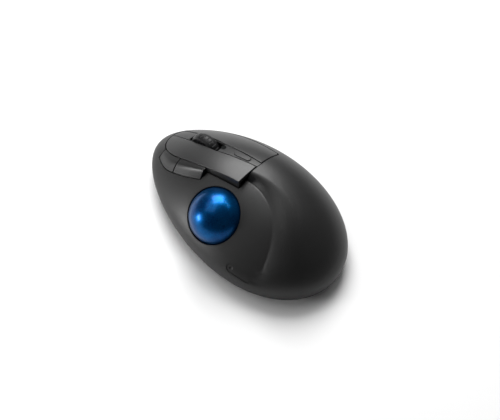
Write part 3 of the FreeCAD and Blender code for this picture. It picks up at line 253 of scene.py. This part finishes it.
TRACK_PITCH = 2.6 * MM
TRACK_SPAN = (0.06, 0.13)  # a track lies this far from its cell's edge, as a share of the cell
TRACK_EDGE = 0.02
PAD_PITCH = 3.4 * MM
PAD_RADIUS = (0.12, 0.16)  # a pad ends between these, as a share of its cell
COPPER_HEIGHT = 0.03 * MM


def circuit_board():
    """Green solder mask over copper tracks, with plated pads."""
    made = Finish("board", 0.38)
    grid = made.cells(TRACK_PITCH, "DISTANCE_TO_EDGE").outputs["Distance"]
    tracks = made.between(grid, *TRACK_SPAN, TRACK_EDGE)
    pads = made.spread(made.cells(PAD_PITCH).outputs["Distance"], *PAD_RADIUS, 1.0, 0.0)
    mask = made.mix(tracks, MASK_GREEN, TRACE_GREEN)
    made.set("Base Color", made.mix(pads, mask, COPPER_GOLD))
    made.set("Metallic", pads)
    made.relief(made.maths("ADD", tracks, pads), COPPER_HEIGHT)
    return made


CELL_BASE = 0.8 * MM       # bare metal at the cell's flat end
CELL_CROWN = 1.9 * MM      # bare metal at its raised end
CELL_BAND = (13.5 * MM, 5.0 * MM)      # the band's and the line's limits, from the raised end
CELL_LINE = (15.7 * MM, 14.9 * MM)
CELL_PRINT_EDGE = 0.05 * MM
SLEEVE_THICKNESS = 0.05 * MM
SLEEVE_WEAR = 6 * MM


def battery_sleeve():
    """A printed cell sleeve: dark, with one coloured band, a line, and bare metal ends."""
    made = Finish("cell sleeve", 0.32)
    low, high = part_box("battery")
    y = made.axis("Y")
    band, line = [made.between(y, high[1] - start, high[1] - end, CELL_PRINT_EDGE)
                  for start, end in (CELL_BAND, CELL_LINE)]
    ends = made.outside(y, low[1] + CELL_BASE, high[1] - CELL_CROWN, CELL_PRINT_EDGE)
    body = made.shades(made.evened(made.noise(SLEEVE_WEAR)), CELL_DARK, 0.8, 1.2)
    printed = made.mix(made.maths("MAXIMUM", band, line), body, CELL_COPPER)
    made.set("Base Color", made.mix(ends, printed, STEEL))
    made.set("Metallic", made.maths("MAXIMUM", ends, made.maths("MULTIPLY", band, 0.7)))
    made.relief(ends, SLEEVE_THICKNESS)
    return made


LABEL_FRAME = 0.8 * MM     # width of the printed frame
LABEL_FRAME_EDGE = 0.08 * MM
RULE_PITCH = 2.4 * MM
RULE_SPAN = (0.42, 0.58)   # a rule fills this share of its pitch
RULE_EDGE = 0.03
RULES_LEFT = 2.2 * MM      # the rules' distances from the plate's left and right edges and from its ends
RULES_RIGHT = 9.7 * MM
RULES_END = 1.7 * MM
RULES_FADE = 0.1 * MM


def printed_label():
    """A blank rating plate: a framed grey film with plain ruled lines."""
    made = Finish("rating plate", 0.45)
    low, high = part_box("label_plate")
    x = made.axis("X")
    y = made.axis("Y")
    rules = made.between(made.maths("FRACT", made.maths("DIVIDE", y, RULE_PITCH)), *RULE_SPAN, RULE_EDGE)
    wide = made.between(x, low[0] + RULES_LEFT, high[0] - RULES_RIGHT, RULES_FADE)
    long = made.between(y, low[1] + RULES_END, high[1] - RULES_END, RULES_FADE)
    sides = made.outside(x, low[0] + LABEL_FRAME, high[0] - LABEL_FRAME, LABEL_FRAME_EDGE)
    ends = made.outside(y, low[1] + LABEL_FRAME, high[1] - LABEL_FRAME, LABEL_FRAME_EDGE)
    lines = made.maths("MULTIPLY", rules, made.maths("MULTIPLY", wide, long))
    ink = made.maths("MAXIMUM", lines, made.maths("MAXIMUM", sides, ends))
    film = made.shades(made.noise(1.5 * MM), LABEL_GREY, 0.92, 1.05)
    made.set("Base Color", made.mix(ink, film, LABEL_INK))
    made.relief(made.noise(0.5 * MM, detail=2.0), 0.01 * MM)
    return made


def clear_moulding():
    """Clear optical plastic with faint flow lines."""
    made = Finish("clear lens", 0.05)
    made.set("Base Color", made.shades(made.noise(3 * MM), CLEAR, 1.0, 0.93))
    made.set("Transmission Weight", 0.9)
    made.set("Roughness", made.evened(made.noise(2 * MM), 0.04, 0.1))
    return made


# moulded() takes a name, a colour and a roughness, and where they differ the grain's size and depth.
FINISHES = {
    "top_shell": moulded("charcoal shell", CHARCOAL, 0.43),
    "bottom_shell": moulded("black base", BASE_BLACK, 0.55, 0.5 * MM, 0.02 * MM),
    "left_button right_button": moulded("key satin", KEY_GREY, 0.38, 0.3 * MM, 0.006 * MM),
    "forward_key back_key": moulded("side key satin", SIDE_GREY, 0.38, 0.3 * MM, 0.006 * MM),
    "center_spine dpi_button": moulded("strip satin", STRIP_GREY, 0.40, 0.3 * MM, 0.006 * MM),
    "scroll_wheel_tyre": glossy("tyre rubber", TYRE_BLACK, 0.36, specular=0.25),
    "scroll_wheel_hub": glossy("hub plastic", HUB_BLACK, 0.3, specular=0.3),
    "trackball": pearl_ball(),
    "button_deck wheel_carriage": moulded("frame plastic", FRAME_GREY, 0.5, 0.5 * MM, 0.02 * MM),
    "ball_cup": moulded("cup plastic", CUP_GREY, 0.36, 0.6 * MM, 0.01 * MM),
    "main_board sensor_board strip_board side_switch_board": circuit_board(),
    "controller_chip optical_sensor": moulded("chip epoxy", CHIP_BLACK, 0.5, 0.2 * MM, 0.02 * MM),
    "left_microswitch right_microswitch power_switch wheel_switch dpi_switch pairing_switch"
    " back_switch forward_switch scroll_detector":
        moulded("switch black", SWITCH_BLACK, 0.42, 0.4 * MM, 0.012 * MM),
    "power_switch_lever status_led": moulded("switch white", SWITCH_WHITE, 0.4, 0.4 * MM, 0.01 * MM),
    "wheel_axle carriage_pin": metal("axle steel", STEEL, 0.26, ACROSS_X),
    "wheel_spring case_screws board_screws cup_screws deck_screws": metal("screw steel", STEEL, 0.32),
    "battery_contact battery_spring_plate battery_spring usb_plug":
        metal("nickel plate", NICKEL, 0.28, ACROSS_Y),
    "ball_bearings": glossy("ceramic", CERAMIC, 0.1),
    "sensor_lens scroll_emitter": clear_moulding(),
    "led_lens": glossy("smoked window", LIGHT_SMOKE, 0.22, specular=0.15),
    "battery": battery_sleeve(),
    "battery_door": moulded("door black", BASE_BLACK, 0.55, 0.5 * MM, 0.02 * MM),
    "power_slider pairing_button": moulded("slider grey", SIDE_GREY, 0.45, 0.4 * MM, 0.01 * MM),
    "usb_receiver": moulded("receiver black", BASE_BLACK, 0.4, 0.4 * MM, 0.008 * MM),
    "front_foot rear_foot left_foot right_foot":
        moulded("slide foot", FOOT_BLACK, 0.3, 0.8 * MM, 0.01 * MM, contrast=0.15),
    "label_plate": printed_label(),
}
for names, finish in FINISHES.items():
    for name in names.split():
        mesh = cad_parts[name].data
        mesh.materials.clear()
        mesh.materials.append(finish.material)

# ---------------------------------------------------------------- the spring under the wheel's carriage
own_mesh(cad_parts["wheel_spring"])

# ---------------------------------------------------------------- studio, in metres and watts
FLOOR_SIZE = 6.0
FLOOR_DROP = 0.1 * MM      # keeps the floor off the feet's faces
FLOOR_MOTTLE = 0.2
FLOOR_ROUGHNESS = 0.7
WORLD_STRENGTH = 0.08
TARGET = Vector((0.0, 0.0, 0.020))
CAMERA_DISTANCE = 0.700
AZIMUTH = math.radians(-46.74)
ELEVATION = math.radians(59.98)
LENS = 87.7                # in millimetres, like the sensor
SENSOR_WIDTH = 36.0
SHIFT = (0.0108, -0.0211)
KEY_SIDE = (0.46, 0.47, 0.73)          # directions from the mouse towards the lights
TOP_SIDE = (-0.15, 0.45, 0.88)
SPOT_SIDE = (-0.789, 0.595, 0.155)     # the reflection on the ball's left
ARC_SIDE = (0.61, 0.27, 0.745)         # the long thin reflection on the ball's right
ARC_RUN = (-0.128, 0.961, -0.247)      # the direction of that light's long side


def floor():
    """A plain pale sheet, with the faintest mottling."""
    bpy.ops.mesh.primitive_plane_add(size=FLOOR_SIZE)
    sheet = bpy.context.object
    sheet.name = "floor"
    sheet.location.z = -FLOOR_DROP
    made = Finish("floor paper", FLOOR_ROUGHNESS)
    made.set("Base Color", made.mix(made.noise(FLOOR_MOTTLE), FLOOR_PALE, FLOOR_PALER))
    sheet.data.materials.append(made.material)


def panel(name, direction, distance, width, height, watts, along=None):
    """A soft rectangular light that faces the mouse from this direction, its height along a vector."""
    data = bpy.data.lights.new(name, "AREA")
    data.shape = "RECTANGLE"
    data.size = width
    data.size_y = height
    data.energy = watts
    lamp = bpy.data.objects.new(name, data)
    outwards = Vector(direction).normalized()
    lamp.location = TARGET + outwards * distance
    lamp.rotation_mode = "QUATERNION"
    turn = outwards.to_track_quat("Z", "Y")
    if along is not None:
        wanted = turn.inverted() @ Vector(along)
        flat = Vector((wanted.x, wanted.y, 0)).normalized()
        turn = turn @ Vector((0, 1, 0)).rotation_difference(flat)
    lamp.rotation_quaternion = turn
    bpy.context.scene.collection.objects.link(lamp)


floor()
panel("key", KEY_SIDE, distance=1.4, width=0.9, height=0.9, watts=25)
panel("top", TOP_SIDE, distance=1.2, width=0.9, height=0.9, watts=4)
panel("ball spot", SPOT_SIDE, distance=0.55, width=0.14, height=0.14, watts=1.5)
panel("ball arc", ARC_SIDE, distance=0.9, width=0.05, height=1.3, watts=1.8, along=ARC_RUN)

world = bpy.data.worlds.new("studio")
world.use_nodes = True
world.node_tree.nodes["Background"].inputs["Color"].default_value = STUDIO_WHITE
world.node_tree.nodes["Background"].inputs["Strength"].default_value = WORLD_STRENGTH
bpy.context.scene.world = world
bpy.context.scene.view_settings.view_transform = "Standard"

camera_data = bpy.data.cameras.new("camera")
camera_data.lens = LENS
camera_data.sensor_width = SENSOR_WIDTH
camera_data.shift_x, camera_data.shift_y = SHIFT
camera = bpy.data.objects.new("camera", camera_data)
back = Vector((
    math.sin(AZIMUTH) * math.cos(ELEVATION),
    -math.cos(AZIMUTH) * math.cos(ELEVATION),
    math.sin(ELEVATION),
))
camera.location = TARGET + back * CAMERA_DISTANCE
camera.rotation_mode = "QUATERNION"
camera.rotation_quaternion = back.to_track_quat("Z", "Y")
bpy.context.scene.collection.objects.link(camera)
bpy.context.scene.camera = camera
